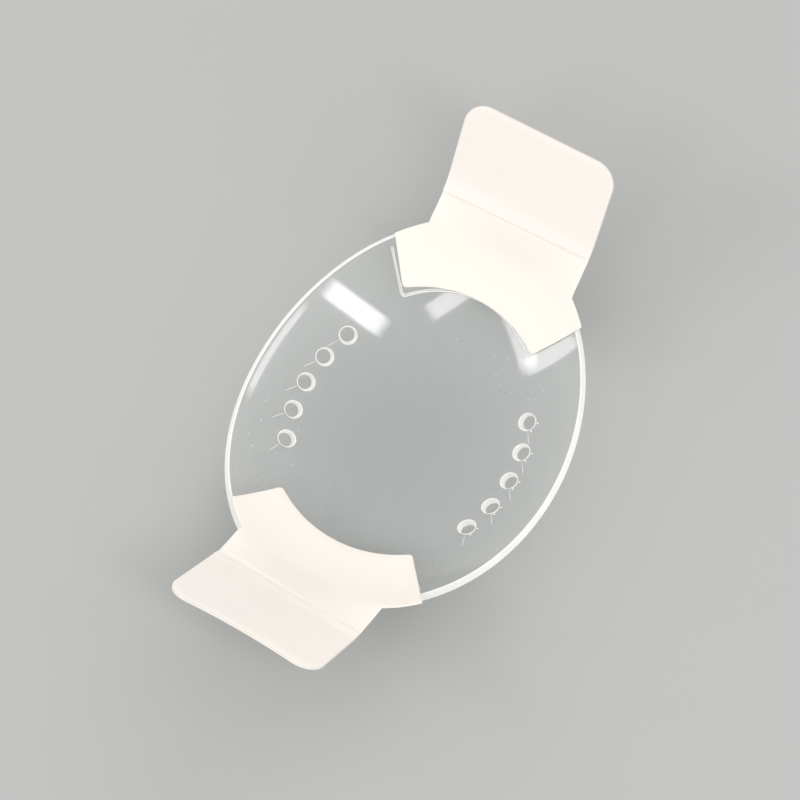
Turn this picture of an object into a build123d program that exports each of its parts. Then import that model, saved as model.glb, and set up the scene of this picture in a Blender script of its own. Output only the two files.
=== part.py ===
from build123d import *
from dataclasses import dataclass
from math import cos, radians, sin, sqrt, tan
import os

# Clear oval eye shield with a peel-and-stick tape tab at each end of its long axis.
# Lengths are millimetres and turns are degrees. The long axis is Y and the upper tab is at +Y.
# The shield lies on its dome: the origin is the dome's lowest point and the patient's side is up.

# Moulded shell: an oval cut out of a ball-shaped wall, with the rim cut square to the wall.
RIM_LENGTH = 80.0
RIM_WIDTH = 62.2
BALL_RADIUS = 57.0
WALL = 1.5
RIM_ROUND = 0.25

# Vent holes: a curved row along each long side, bored square to the wall.
VENT_COUNT = 5
VENT_DIAMETER = 3.2
VENT_REACH = 21.4
VENT_ROW_RADIUS = 29.3
VENT_STEP_ANGLE = 11.8

# Locating rib: a bead on the inside that frames where each tab is stuck down.
RIB_WIDTH = 0.6
RIB_CORNER_X = 13.25
RIB_CORNER_Y = 22.6
RIB_APEX_Y = 28.25
RIB_END_X = 18.4
RIB_END_Y = 28.6
RIB_CORNER_ROUND = 0.9

# Layers of both tabs.
TAPE = 0.3
GLUE = 0.15
LINER = 0.15
LINER_LIFT = 0.05
GLUE_MARGIN = 0.4

# Half the slit between head and flap at a tab's crease.
SLIT_HALF = 0.15

# Die-cut outline that both tabs share.
LEG_HALF = 13.8
LEG_ROUND = 1.0
NECK_HALF = 15.4
NECK_ROOT = 3.0
END_HALF = 15.6
END_ROUND = 4.5

# Upper tab, stuck on a little askew. Left and right are seen from above with the flap pointing away.
UPPER_SKEW_ANGLE = -1.7
UPPER_OFFSET = 0.46
UPPER_LEG_OFFSET = -0.65
UPPER_LEG_Y = 23.4
UPPER_LEFT_SPLAY_ANGLE = 38.2
UPPER_RIGHT_SPLAY_ANGLE = 45.0
UPPER_ARC_Y = 28.0
UPPER_LEFT_EAR_REACH = -0.1
UPPER_RIGHT_EAR_REACH = -0.5
UPPER_NECK_Y = 35.05
UPPER_NECK_LENGTH = 5.6
UPPER_NECK_ANGLE = 31.1
UPPER_TILT_ANGLE = 0.9
UPPER_SLANT_ANGLE = -0.7
UPPER_BEND_LENGTH = 4.8
UPPER_BEND_ANGLE = 23.4
UPPER_FLAP_LENGTH = 20.9
UPPER_LEFT_COAT_Y = 0.4
UPPER_RIGHT_COAT_Y = 1.3

# Lower tab, stuck on askew too, at the other end of the shell, with its crease aslant.
LOWER_SKEW_ANGLE = -1.2
LOWER_OFFSET = -0.86
LOWER_LEG_OFFSET = 0.28
LOWER_LEG_Y = 21.4
LOWER_LEFT_SPLAY_ANGLE = 39.8
LOWER_RIGHT_SPLAY_ANGLE = 33.3
LOWER_ARC_Y = 25.9
LOWER_LEFT_EAR_REACH = 1.3
LOWER_RIGHT_EAR_REACH = -0.5
LOWER_NECK_Y = 34.8
LOWER_NECK_LENGTH = 8.3
LOWER_NECK_ANGLE = 30.4
LOWER_TILT_ANGLE = -4.0
LOWER_SLANT_ANGLE = -5.0
LOWER_BEND_LENGTH = 3.4
LOWER_BEND_ANGLE = 16.5
LOWER_FLAP_LENGTH = 21.5
LOWER_LEFT_COAT_Y = 0.5
LOWER_RIGHT_COAT_Y = 1.9

# How far cutting and limiting shapes run past what they cut.
OVERRUN = 3.0

# The rim's cone starts this share of the way down from the ball's centre, above all of the rim.
CONE_TOP_SHARE = 0.5
# The ball's seam lies between the vents and the tabs.
SEAM_ANGLE = 45.0

INNER_RADIUS = BALL_RADIUS - WALL
HALF_LENGTH = RIM_LENGTH / 2
HALF_WIDTH = RIM_WIDTH / 2
RIM_END_DEPTH = sqrt(BALL_RADIUS**2 - HALF_LENGTH**2)
RIM_SIDE_DEPTH = sqrt(BALL_RADIUS**2 - HALF_WIDTH**2)


@dataclass
class Tab:
    """Sizes of one tab in its own frame: +Y outwards, turned about the shell's axis into place."""

    name: str
    end_turn: float
    skew: float
    offset: float
    leg_offset: float
    leg_y: float
    left_splay: float
    right_splay: float
    arc_y: float
    left_reach: float
    right_reach: float
    neck_y: float
    neck_length: float
    neck_turn: float
    tilt: float
    slant: float
    bend_length: float
    bend_turn: float
    flap_length: float
    left_coat: float
    right_coat: float

    @property
    def place(self):
        """Turn about the shell's axis that brings the tab to its end of the shell."""
        return Rot(0, 0, self.end_turn + self.skew)

    @property
    def crease(self):
        """Frame of the crease: X along it, Y on along the neck, Z towards the patient's side."""
        corner = BALL_RADIUS - sqrt(MID_RADIUS**2 - self.neck_y**2 - NECK_HALF**2)
        along = Vector(0, cos(radians(self.neck_turn)), sin(radians(self.neck_turn)))
        root = Vector(self.offset, self.neck_y, corner)
        across = Vector(1, 0, 0)
        square = Plane(root + along * self.neck_length, x_dir=across, z_dir=across.cross(along))
        return square.rotated((0, -self.tilt, self.slant))


# Radii of the layers that follow the inside of the shell.
TAPE_UNDER_RADIUS = INNER_RADIUS - GLUE
TAPE_TOP_RADIUS = TAPE_UNDER_RADIUS - TAPE
MID_RADIUS = TAPE_UNDER_RADIUS - TAPE / 2

UPPER = Tab(
    "upper", 0, UPPER_SKEW_ANGLE, UPPER_OFFSET, UPPER_LEG_OFFSET, UPPER_LEG_Y, UPPER_LEFT_SPLAY_ANGLE,
    UPPER_RIGHT_SPLAY_ANGLE, UPPER_ARC_Y, UPPER_LEFT_EAR_REACH, UPPER_RIGHT_EAR_REACH, UPPER_NECK_Y,
    UPPER_NECK_LENGTH, UPPER_NECK_ANGLE, UPPER_TILT_ANGLE, UPPER_SLANT_ANGLE, UPPER_BEND_LENGTH,
    UPPER_BEND_ANGLE, UPPER_FLAP_LENGTH, UPPER_LEFT_COAT_Y, UPPER_RIGHT_COAT_Y,
)
LOWER = Tab(
    "lower", 180, LOWER_SKEW_ANGLE, LOWER_OFFSET, LOWER_LEG_OFFSET, LOWER_LEG_Y, LOWER_LEFT_SPLAY_ANGLE,
    LOWER_RIGHT_SPLAY_ANGLE, LOWER_ARC_Y, LOWER_LEFT_EAR_REACH, LOWER_RIGHT_EAR_REACH, LOWER_NECK_Y,
    LOWER_NECK_LENGTH, LOWER_NECK_ANGLE, LOWER_TILT_ANGLE, LOWER_SLANT_ANGLE, LOWER_BEND_LENGTH,
    LOWER_BEND_ANGLE, LOWER_FLAP_LENGTH, LOWER_LEFT_COAT_Y, LOWER_RIGHT_COAT_Y,
)


def ball(radius):
    """Ball on the shell's centre, which all its curved faces share."""
    return Pos(0, 0, BALL_RADIUS) * Rot(0, 0, SEAM_ANGLE) * Sphere(radius)


def skin(outer, inner):
    """Hollow ball between two radii."""
    return ball(outer) - ball(inner)


def rim_cone():
    """Oval cone with its tip at the ball's centre: its side is square to the wall all round."""
    sections = []
    for depth in (BALL_RADIUS * CONE_TOP_SHARE, BALL_RADIUS + OVERRUN):
        oval = Ellipse(depth * HALF_WIDTH / RIM_SIDE_DEPTH, depth * HALF_LENGTH / RIM_END_DEPTH)
        sections.append(Pos(0, 0, BALL_RADIUS - depth) * oval)
    return loft(sections, ruled=True)


def vents():
    """Boring tools for both rows of vent holes, each aimed at the ball's centre."""
    centre = Vector(0, 0, BALL_RADIUS)
    tools = []
    for side in (-1, 1):
        for index in range(VENT_COUNT):
            turn = radians(VENT_STEP_ANGLE * (index - (VENT_COUNT - 1) / 2))
            x = side * (VENT_REACH - VENT_ROW_RADIUS * (1 - cos(turn)))
            y = VENT_ROW_RADIUS * sin(turn)
            spot = Vector(x, y, BALL_RADIUS - sqrt(INNER_RADIUS**2 - x**2 - y**2))
            bore = Cylinder(VENT_DIAMETER / 2, 2 * (WALL + OVERRUN))
            tools.append(Plane(spot, z_dir=spot - centre) * bore)
    return tools


def rib_line():
    """Centreline of the rib in plan: leg, arc and leg, with its two corners rounded."""
    end = (RIB_END_X, RIB_END_Y)
    corner = (RIB_CORNER_X, RIB_CORNER_Y)
    far_corner = (-RIB_CORNER_X, RIB_CORNER_Y)
    line = Wire([
        Line(end, corner),
        ThreePointArc(corner, (0, RIB_APEX_Y), far_corner),
        Line(far_corner, (-RIB_END_X, RIB_END_Y)),
    ])
    corners = line.vertices().sort_by(Axis.Y)[:2]
    return line.fillet_2d(RIB_CORNER_ROUND, corners)


def rib():
    """Round-ended bead on the inside wall, as high as the glue that it frames is thick."""
    bead = make_face(offset(rib_line(), amount=RIB_WIDTH / 2))
    return extrude(bead, BALL_RADIUS) & skin(INNER_RADIUS + WALL / 2, TAPE_UNDER_RADIUS)


def glue_field():
    """Plan of the area that the rib frames, from the rib's outer flank out to the rim."""
    slope = (RIB_END_X - RIB_CORNER_X) / (RIB_END_Y - RIB_CORNER_Y)
    reach = HALF_LENGTH + OVERRUN
    far = RIB_CORNER_X + slope * (reach - RIB_CORNER_Y)
    frame = [
        Line((far, reach), (RIB_CORNER_X, RIB_CORNER_Y)),
        ThreePointArc((RIB_CORNER_X, RIB_CORNER_Y), (0, RIB_APEX_Y), (-RIB_CORNER_X, RIB_CORNER_Y)),
        Line((-RIB_CORNER_X, RIB_CORNER_Y), (-far, reach)),
        Line((-far, reach), (far, reach)),
    ]
    return offset(make_face(frame), amount=-RIB_WIDTH)


def shield_shell():
    """Moulded clear shell with its vent holes and the two locating ribs."""
    cut = skin(BALL_RADIUS, INNER_RADIUS) & rim_cone()
    # The rim's edges are no arcs of circles, and neither is the cone's seam across the wall.
    oval_edges = cut.edges().filter_by(GeomType.BSPLINE)
    shell = fillet(oval_edges.filter_by(lambda edge: edge.length > 2 * WALL), RIM_ROUND)
    for end_turn in (0, 180):
        shell += Rot(0, 0, end_turn) * rib()
    for bore in vents():
        shell -= bore
    return shell


def leg_outline(tab):
    """Plan of the head's splayed legs and the concave arc between them, out to where the neck starts."""
    rise = tab.neck_y - tab.leg_y
    left = -LEG_HALF - tan(radians(tab.left_splay)) * rise
    right = LEG_HALF + tan(radians(tab.right_splay)) * rise
    frame = make_face([
        Line((right, tab.neck_y), (LEG_HALF, tab.leg_y)),
        ThreePointArc((LEG_HALF, tab.leg_y), (0, tab.arc_y), (-LEG_HALF, tab.leg_y)),
        Line((-LEG_HALF, tab.leg_y), (left, tab.neck_y)),
        Line((left, tab.neck_y), (right, tab.neck_y)),
    ])
    rounded = fillet(frame.vertices().sort_by(Axis.Y)[:2], LEG_ROUND)
    return Pos(tab.leg_offset, 0) * rounded


def head_outline(tab):
    """Plan of the stuck-down head: its legs, cut off by ears that follow the rim, and the neck's root."""
    legs = leg_outline(tab)
    root = Pos(tab.offset, tab.neck_y) * Rectangle(2 * NECK_HALF, NECK_ROOT, align=(Align.CENTER, Align.MAX))
    return root + [legs & ear_side(tab, -1, tab.left_reach), legs & ear_side(tab, 1, tab.right_reach)]


def ear_side(tab, side, reach):
    """Half of an oval that runs along the rim, on one side of the tab's middle."""
    oval = Ellipse(HALF_WIDTH + reach, HALF_LENGTH + reach)
    edge = Align.MIN if side > 0 else Align.MAX
    half = Rectangle(HALF_LENGTH, 2 * HALF_LENGTH + OVERRUN, align=(edge, Align.CENTER))
    return Pos(tab.offset, 0) * (oval & half)


def neck(tab):
    """Neck: arched like the head where it leaves it, and straight where it ends at the crease."""
    under, top = (sqrt(radius**2 - tab.neck_y**2) for radius in (TAPE_UNDER_RADIUS, TAPE_TOP_RADIUS))
    ring = Pos(0, BALL_RADIUS) * (Circle(under) - Circle(top))
    low = (Align.CENTER, Align.MIN)
    window = Pos(tab.offset, 0) * Rectangle(2 * NECK_HALF, BALL_RADIUS, align=low)
    start = Plane((0, tab.neck_y, 0), x_dir=(1, 0, 0), z_dir=(0, -1, 0)) * (ring & window)
    crease = tab.crease
    edge = crease.origin - crease.y_dir * SLIT_HALF
    width = 2 * NECK_HALF / cos(radians(tab.slant))
    end = Plane(edge, x_dir=crease.x_dir, z_dir=-crease.y_dir) * Rectangle(width, TAPE)
    return loft([start, end], ruled=True)


def tape_head(tab):
    """Tape that is stuck to the shell, with the neck up to the crease."""
    stuck = skin(TAPE_UNDER_RADIUS, TAPE_TOP_RADIUS) & extrude(head_outline(tab), BALL_RADIUS)
    return tab.place * (stuck + neck(tab))


def head_glue(tab):
    """Glue between the head and the shell, inside the frame that the rib makes."""
    inset = offset(leg_outline(tab), amount=-GLUE_MARGIN)
    reach = min(tab.left_reach, tab.right_reach) - GLUE_MARGIN
    ears = Pos(tab.offset, 0) * Ellipse(HALF_WIDTH + reach, HALF_LENGTH + reach)
    field = inset & ears & (Rot(0, 0, -tab.skew) * glue_field())
    layer = skin(INNER_RADIUS, TAPE_UNDER_RADIUS) & extrude(field, BALL_RADIUS)
    return (tab.place * layer) & rim_cone()


def flap_point(tab, along, height):
    """Point of the bent flap's side view, by its way along the tape and its height above mid-tape."""
    radius = tab.bend_length / radians(tab.bend_turn)
    bent = min(along, tab.bend_length) / radius
    straight = max(along - tab.bend_length, 0)
    x = (radius - height) * sin(bent) + straight * cos(bent)
    y = radius - (radius - height) * cos(bent) + straight * sin(bent)
    return (x, y)


def flap_layer(tab, low, high, outline):
    """One layer of the flap between two heights: a strip bent past the slit, trimmed to an outline."""
    end = tab.flap_length
    bend = tab.bend_length
    middle = (SLIT_HALF + bend) / 2
    side_view = make_face([
        ThreePointArc(*(flap_point(tab, s, low) for s in (SLIT_HALF, middle, bend))),
        Line(flap_point(tab, bend, low), flap_point(tab, end + OVERRUN, low)),
        Line(flap_point(tab, end + OVERRUN, low), flap_point(tab, end + OVERRUN, high)),
        Line(flap_point(tab, end + OVERRUN, high), flap_point(tab, bend, high)),
        ThreePointArc(*(flap_point(tab, s, high) for s in (bend, middle, SLIT_HALF))),
        Line(flap_point(tab, SLIT_HALF, high), flap_point(tab, SLIT_HALF, low)),
    ])
    crease = tab.crease
    side = Plane(crease.origin, x_dir=crease.y_dir, z_dir=crease.x_dir)
    strip = extrude(side * side_view, END_HALF + OVERRUN, both=True)
    x, y = flap_point(tab, bend, 0)
    origin = crease.origin + crease.y_dir * x + crease.z_dir * y
    flat = Plane(origin, x_dir=crease.x_dir, z_dir=crease.z_dir).rotated((tab.bend_turn, 0, 0))
    prism = extrude(flat * (Pos(0, -bend) * outline), 2 * OVERRUN, both=True)
    return tab.place * (strip & prism)


def flap_outline(tab):
    """The flap laid flat beyond its crease, which runs along X: sides in line with the tab, and two round corners."""
    corners = [(NECK_HALF, -OVERRUN), (END_HALF, tab.flap_length)]
    corners += [(-x, y) for x, y in reversed(corners)]
    outline = make_face(Polyline(*corners, close=True))
    rounded = fillet(outline.vertices().sort_by(Axis.Y)[2:], END_ROUND)
    return Rot(0, 0, -tab.slant) * rounded


def coat_outline(tab):
    """The flap's outline from the line on where its coats start, which crosses it a little aslant."""
    slope = (tab.right_coat - tab.left_coat) / (2 * NECK_HALF)
    middle = (tab.right_coat + tab.left_coat) / 2
    reach = NECK_HALF + OVERRUN
    far = tab.flap_length + 2 * OVERRUN
    corners = [(-reach, middle - slope * reach), (reach, middle + slope * reach), (reach, far), (-reach, far)]
    return flap_outline(tab) & make_face(Polyline(*corners, close=True))


def tab_pieces(tab):
    """The five pieces of one tab by node name."""
    top = TAPE / 2
    liner_low = top + GLUE + LINER_LIFT
    coat = coat_outline(tab)
    return {
        "tape_head": tape_head(tab),
        "head_adhesive": head_glue(tab),
        "tape_flap": flap_layer(tab, -top, top, flap_outline(tab)),
        "skin_adhesive": flap_layer(tab, top, top + GLUE, offset(coat, amount=-GLUE_MARGIN)),
        "release_liner": flap_layer(tab, liner_low, liner_low + LINER, coat),
    }


def main():
    """Write one file for each piece."""
    os.makedirs("parts", exist_ok=True)
    pieces = {"shield_shell": shield_shell()}
    for tab in (UPPER, LOWER):
        for name, piece in tab_pieces(tab).items():
            pieces[f"{tab.name}_{name}"] = piece
    for name, piece in pieces.items():
        export_step(piece, f"parts/{name}.step")


main()
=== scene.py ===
"""Clear oval eye shield with a peel-and-stick tape tab at each end, dressed for rendering.

Shape functions work in millimetres and radians. Blender works in metres. The frame is the CAD
model's: the origin is the dome's lowest point, the long axis is Y and the patient's side is up.
"""
from math import atan2, cos, pi, radians, sin, sqrt, tan
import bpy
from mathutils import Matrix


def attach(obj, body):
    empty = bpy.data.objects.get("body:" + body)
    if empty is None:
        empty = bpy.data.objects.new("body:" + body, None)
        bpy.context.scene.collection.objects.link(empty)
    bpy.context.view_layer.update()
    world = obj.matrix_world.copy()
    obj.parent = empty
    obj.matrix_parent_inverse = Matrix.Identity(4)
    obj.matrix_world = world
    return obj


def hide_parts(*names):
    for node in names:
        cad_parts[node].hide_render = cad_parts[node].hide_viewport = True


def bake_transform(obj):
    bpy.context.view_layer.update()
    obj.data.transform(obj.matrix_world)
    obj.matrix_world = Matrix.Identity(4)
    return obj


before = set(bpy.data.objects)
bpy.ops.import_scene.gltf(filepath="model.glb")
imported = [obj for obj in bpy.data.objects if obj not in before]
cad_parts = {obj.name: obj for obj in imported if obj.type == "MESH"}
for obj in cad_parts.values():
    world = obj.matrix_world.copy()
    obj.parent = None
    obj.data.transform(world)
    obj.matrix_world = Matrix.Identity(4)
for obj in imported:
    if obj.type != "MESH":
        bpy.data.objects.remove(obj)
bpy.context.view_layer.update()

from types import SimpleNamespace

import bmesh
import bpy
import numpy as np
from bpy.props import FloatProperty, FloatVectorProperty, IntProperty, PointerProperty
from mathutils import Matrix, Vector
from mathutils.geometry import delaunay_2d_cdt

bl_info = {
    "name": "Surgical eye shield",
    "version": (1, 0, 0),
    "blender": (4, 5, 0),
    "location": "View3D > Sidebar > Eye shield",
    "description": "Builds a clear eye shield with two tape tabs over its CAD frame",
    "category": "Add Mesh",
}

MM = 0.001

# Numbers of points: round the rim and a vent, over roundings, ends and edges, along arcs and ovals,
# and over glue and moulding marks.
RIM_POINTS = 480
VENT_POINTS = 56
ROUND_STEPS = 5
CAP_POINTS = 9
PLATE_EDGE_POINTS = 7
BEAD_ARC_POINTS = 120
TAB_ARC_POINTS = 160
CORNER_POINTS = 14
OVAL_POINTS = 4000
GLUE_POINTS = 1200
MARK_ROWS, MARK_SIDES = 15, 12

# Millimetres between the points inside the shell's faces and the tabs', and along edges.
SPREAD = 1.1
SHEET_SPREAD = 1.3
FINE_STEP = 0.4
COAT_STEP = 0.5
ROOT_STEP = 0.6
EDGE_STEP = 0.7
SIDE_STEP = 0.8
END_STEP = 1.0

# Rows across a tab, as (start, end, step) in millimetres: from the neck's start to before the crease,
# beside the crease, and from the crease to past the bend's end.
NECK_ROWS = (0.5, -1.4, 0.55)
CREASE_ROWS = (-1.2, 0.75, 0.12)
BEND_ROWS = (1.1, 0.4, 0.5)

# Shares of a bead's half width where its rings lie, and where its flanks start: the flanks take the
# white second material, a painted highlight along the bead.
BEAD_RINGS = (1.0, 0.9, 0.75, 0.5)
FLANK_START = 0.5

# Share of the neck over which it settles from the ball's slope to its own.
SETTLE_SHARE = 0.6

# Millimetres: nearer points become one, and how far off a wall a point of it may be.
WELD = 0.002
ON_WALL = 0.001


def linear(hex_value):
    """Linear RGBA of an sRGB hex value: ((c + 0.055) / 1.055)^2.4, or c / 12.92 when dark."""
    channels = [int(hex_value[i : i + 2], 16) / 255 for i in (1, 3, 5)]
    return [c / 12.92 if c <= 0.04045 else ((c + 0.055) / 1.055) ** 2.4 for c in channels] + [1.0]


def length(value, **words):
    """Property that holds a length, given here in millimetres."""
    return FloatProperty(default=value * MM, unit="LENGTH", subtype="DISTANCE", precision=5, **words)


def angle(value, **words):
    """Property that holds an angle, given here in degrees."""
    return FloatProperty(default=radians(value), unit="ROTATION", subtype="ANGLE", **words)


def colour(value, **words):
    """Property that holds a colour, given here as an sRGB hex value."""
    return FloatVectorProperty(default=linear(value), size=4, min=0, max=1, subtype="COLOR", **words)


def number(value, **words):
    """Property that holds a number of pieces."""
    return IntProperty(default=value, min=1, **words)


def fields(rows, column=0):
    """A group's properties, named by their keys in words, from rows of kind, key, text and values."""
    return {
        key: kind(values[column], name=key.replace("_", " ").capitalize(), description=text)
        for kind, key, text, *values in rows
    }


# A row's last two values are the upper and the lower tab's. Left and right are the tab's own.
TAB_ROWS = (
    (angle, "skew", "Turn about the shell's axis", -1.7, -1.2),
    (length, "offset", "Shift of neck and flap to the right", 0.46, -0.86),
    (length, "leg_offset", "Shift of the legs to the right", -0.65, 0.28),
    (length, "leg_y", "Shell's middle to the legs' ends", 23.4, 21.4),
    (angle, "left_splay", "Angle of the left leg's outer edge", 38.2, 39.8),
    (angle, "right_splay", "Angle of the right leg's outer edge", 45.0, 33.3),
    (length, "arc_y", "Shell's middle to the concave edge", 28.0, 25.9),
    (length, "left_reach", "Reach of the left ear over the rim", -0.1, 1.3),
    (length, "right_reach", "Reach of the right ear over the rim", -0.5, -0.5),
    (length, "neck_y", "Shell's middle to the neck's start", 35.05, 34.8),
    (length, "neck_length", "Neck's start to the crease", 5.6, 8.3),
    (angle, "neck_angle", "Rise of the neck over the floor", 31.1, 30.4),
    (angle, "tilt", "Rise of the crease to the tab's right", 0.9, -4.0),
    (angle, "slant", "Turn of the crease across the tab", -0.7, -5.0),
    (length, "bend_length", "Curved stretch after the crease", 4.8, 3.4),
    (angle, "bend_angle", "Bend of the flap", 23.4, 16.5),
    (length, "flap_length", "Crease to the free end", 20.9, 21.5),
    (length, "curl", "Sag of the free end's corners", 0.0, 0.8),
    (length, "left_coat", "Crease to the flap's coats, on the left", 0.4, 0.5),
    (length, "right_coat", "Crease to the flap's coats, on the right", 1.3, 1.9),
)

SIZE_ROWS = (
    (length, "rim_length", "Outer length of the oval rim", 80.0),
    (length, "rim_width", "Outer width of the oval rim", 62.2),
    (length, "ball_radius", "Outer radius of the shell's wall", 57.0),
    (length, "wall", "Thickness of the shell", 1.5),
    (length, "edge_round", "Radius of the rim's two edges", 0.25),
    (length, "lip_round", "Radius of a vent's two rounded edges", 0.2),
    (length, "vent_draft", "Loss of a bore's radius through the wall", 0.25),
    (number, "vent_count", "Vent holes in each row", 5),
    (length, "vent_diameter", "Bore of a vent hole", 3.2),
    (length, "vent_lean", "Shift of a bore's outer end", 0.25),
    (angle, "vent_lean_way", "Its direction from the X axis", 118.0),
    (length, "vent_reach", "Long axis to the middle vent", 21.4),
    (length, "vent_row_radius", "Radius of a row's curve", 29.3),
    (angle, "vent_step", "Angle between neighbouring vents", 11.8),
    (length, "knit_start", "Vent's middle to its knit line", 1.85),
    (length, "knit_length", "Length of a knit line", 2.7),
    (length, "knit_width", "Width of a knit line", 0.07),
    (length, "knit_height", "Height of a knit line", 0.03),
    (angle, "knit_lean", "Angle of a knit line to the long axis", 32.0),
    (angle, "last_knit_lean", "The same for each row's lowest vent", 18.0),
    (length, "nub_size", "Length and width of a flash nub", 0.3),
    (length, "nub_reach", "Vent's middle to its nubs", 1.95),
    (angle, "nub_turn", "First nub's direction above the X axis", 10.0),
    (angle, "nub_step", "Angle down to the second nub", 51.0),
    (length, "rib_width", "Width of the locating bead", 0.6),
    (length, "rib_height", "Height of the bead, under the glue's", 0.13),
    (length, "rib_corner_x", "The bead's corners across the shell", 13.25),
    (length, "rib_corner_y", "The bead's corners along the shell", 22.6),
    (length, "rib_apex_y", "Middle of the bead's arc", 28.25),
    (length, "rib_end_x", "The bead's ends across the shell", 18.4),
    (length, "rib_end_y", "The bead's ends along the shell", 28.6),
    (length, "rib_round", "Radius of the bead's two corners", 0.9),
    (length, "tape", "Thickness of the tape", 0.3),
    (length, "glue", "Thickness of each adhesive coat", 0.15),
    (length, "liner", "Thickness of the release paper", 0.15),
    (length, "liner_lift", "Air between adhesive and release paper", 0.05),
    (length, "coat_gap", "Air between neighbouring layers", 0.02),
    (length, "glue_margin", "Tape's edge to the head's adhesive", 0.4),
    (length, "skin_margin", "Tape's edge to the flap's adhesive", 0.1),
    (length, "leg_half", "Half the gap between the legs' corners", 13.8),
    (length, "leg_round", "Radius of the legs' corners", 1.0),
    (length, "neck_half", "Half the neck's width", 15.4),
    (length, "end_half", "Half the free end's width", 15.6),
    (length, "end_round", "Radius of the flap's two end corners", 4.5),
)

COLOUR_ROWS = (
    (colour, "shell", "Clear moulded polycarbonate", "#FBFCFC"),
    # Edge white: partly the satin skin's own scatter, partly painted glow of light piped to the rim and
    # bores, and painted highlight on the beads' flanks.
    (colour, "satin", "Light scattered by the satin edges", "#FEFDFB"),
    (colour, "tape", "White polyethylene tape", "#E6DFD8"),
    (colour, "liner", "Silicone-coated release paper", "#E6E0DB"),
    (colour, "glue", "Acrylic adhesive on white tape", "#EFEDE6"),
    (colour, "dust", "Specks of dust on the shell", "#FAF9F6"),
    (colour, "floor", "Plain pale floor", "#A6A7A6"),
)


class UpperTab(bpy.types.PropertyGroup):
    """Sizes of the tab at +Y."""

    __annotations__ = fields(TAB_ROWS, 0)


class LowerTab(bpy.types.PropertyGroup):
    """Sizes of the tab at -Y, in its own frame."""

    __annotations__ = fields(TAB_ROWS, 1)


class ShieldSizes(bpy.types.PropertyGroup):
    """Sizes of the shell and of the layers that both tabs share."""

    __annotations__ = fields(SIZE_ROWS)


class ShieldColours(bpy.types.PropertyGroup):
    """Colours of the materials and the stage."""

    __annotations__ = fields(COLOUR_ROWS)


def in_mm(group):
    """A property group's values by key: lengths in millimetres, the rest as they are."""
    rows = group.bl_rna.properties
    values = {key: getattr(group, key) for key in rows.keys() if key not in ("rna_type", "name")}
    return {key: value / MM if rows[key].unit == "LENGTH" else value for key, value in values.items()}


def shield_sizes(scene):
    """Sizes of the shell in millimetres, and values that follow from them."""
    s = SimpleNamespace(**in_mm(scene.eye_shield_sizes))
    s.inner_radius = s.ball_radius - s.wall
    s.mid_radius = s.inner_radius - s.glue - s.tape / 2
    s.half_length, s.half_width = s.rim_length / 2, s.rim_width / 2
    s.centre = np.array([0.0, 0.0, s.ball_radius])
    return s


def turned(angle_value, axis):
    """Rotation matrix about a coordinate axis."""
    return np.array(Matrix.Rotation(angle_value, 3, axis))


def tabs(scene):
    """Both tabs' sizes, with each crease's place: origin, and axes across, along and up."""
    s = shield_sizes(scene)
    result = []
    groups = (("upper", 0.0, scene.eye_shield_upper), ("lower", pi, scene.eye_shield_lower))
    for name, end_turn, group in groups:
        t = SimpleNamespace(**{**vars(s), **in_mm(group)}, name=name)
        t.place = turned(end_turn + t.skew, "Z")
        corner = t.ball_radius - sqrt(t.mid_radius**2 - t.neck_y**2 - t.neck_half**2)
        along = np.array([0.0, cos(t.neck_angle), sin(t.neck_angle)])
        t.crease = np.array([t.offset, t.neck_y, corner]) + along * t.neck_length
        axes = np.stack([np.array([1.0, 0.0, 0.0]), along, np.cross([1.0, 0.0, 0.0], along)])
        t.across, t.along, t.up = axes @ (turned(-t.tilt, "Y") @ turned(t.slant, "Z")).T
        t.crease_v = t.neck_y + t.neck_length
        result.append(t)
    return result


# Mesh tools


def unit(vectors):
    """Vectors scaled to length 1: v / |v|."""
    return vectors / np.linalg.norm(vectors, axis=-1, keepdims=True)


def grid_faces(rows, columns, close_rows=False, close_columns=False):
    """Quads of a grid of points, row by row. A closed direction joins its last line to its first."""
    i, j = np.meshgrid(
        np.arange(rows if close_rows else rows - 1),
        np.arange(columns if close_columns else columns - 1),
        indexing="ij",
    )
    down, right = (i + 1) % rows, (j + 1) % columns
    quads = [i * columns + j, i * columns + right, down * columns + right, down * columns + j]
    return np.stack(quads, axis=-1).reshape(-1, 4)


def ring_edges(start, count):
    """Pairs of neighbours on a closed ring of points: (i, i + 1), the last with the first."""
    i = np.arange(count)
    return np.stack([start + i, start + (i + 1) % count], axis=-1)


def filled(loops, lines, spread, inside):
    """Constrained Delaunay triangles through closed loops, open lines and spread points.

    They index the three in that order, and stay where inside() is true of their middles.
    """
    edges, start = [], 0
    for loop in loops:
        edges.append(ring_edges(start, len(loop)))
        start += len(loop)
    for line in lines:
        edges.append(ring_edges(start, len(line))[:-1])
        start += len(line)
    points = np.vstack([*loops, *lines, spread])
    hull, nearest = 0, 1e-6
    made = delaunay_2d_cdt([*map(Vector, points.tolist())], np.vstack(edges).tolist(), [], hull, nearest)
    source = np.array([ids[0] for ids in made[3]])
    triangles = source[np.array(made[2])]
    return triangles[inside(points[triangles].mean(axis=1))]


def lattice(half_x, low_y, high_y, spacing):
    """Points of a triangular lattice: every second row is moved by half a spacing."""
    rows = np.arange(low_y, high_y, spacing * sqrt(3) / 2)
    columns = np.arange(-half_x, half_x, spacing)
    x, y = np.meshgrid(columns, rows)
    x = x + (np.arange(len(rows)) % 2)[:, None] * spacing / 2
    return np.stack([x.ravel(), y.ravel()], axis=-1)


def distance_to(line, points):
    """Distance from flat points to the nearest point of a closely stepped line."""
    return np.sqrt(((points[:, None, :] - line[None]) ** 2).sum(axis=-1)).min(axis=1)


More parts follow.
